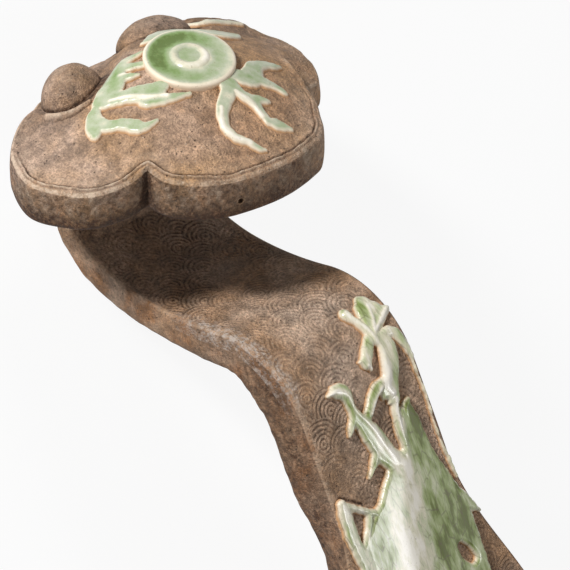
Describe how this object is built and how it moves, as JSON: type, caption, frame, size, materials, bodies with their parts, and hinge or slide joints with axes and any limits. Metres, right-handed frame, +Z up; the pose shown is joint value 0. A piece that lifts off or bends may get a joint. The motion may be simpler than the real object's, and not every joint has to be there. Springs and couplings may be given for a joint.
{
  "type": "ruyi sceptre",
  "caption": "Ceremonial ruyi sceptre in brown stoneware, with a domed cloud-shaped head, an S-curved wave-stamped shaft and applied celadon flames, pearl and branching relief.",
  "frame": {"origin": "middle of the flat rest land under the heel, where the neck meets the shaft, on the table plane", "axes": "+X along the shaft from the head to the butt, +Y across to the right seen from the head end, +Z up from the table, with the ornamented face of the shaft upward"},
  "size_m": [0.3717, 0.0938, 0.0732],
  "materials": {
    "biscuit": "unglazed fired clay",
    "celadon": "glossy pale green glaze over clay"
  },
  "bodies": {
    "root": {"head_face": "biscuit", "head_wall": "biscuit", "head_base": "biscuit", "volute_knob_left": "biscuit", "volute_knob_right": "biscuit", "volute_ridge": "biscuit", "neck": "biscuit", "shaft_face": "biscuit", "shaft_back": "biscuit", "pearl_disc": "celadon", "pearl_ring": "celadon", "flame_shoulder": "celadon", "flame_back_outer": "celadon", "flame_back_inner": "celadon", "flame_left": "celadon", "flame_left_tail": "celadon", "flame_right_upper": "celadon", "flame_right_middle": "celadon", "flame_right_claw": "celadon", "crest": "celadon", "whisker": "celadon", "hook_branch": "celadon", "body": "celadon", "loop": "celadon", "tail": "celadon"}
  },
  "joints": []
}
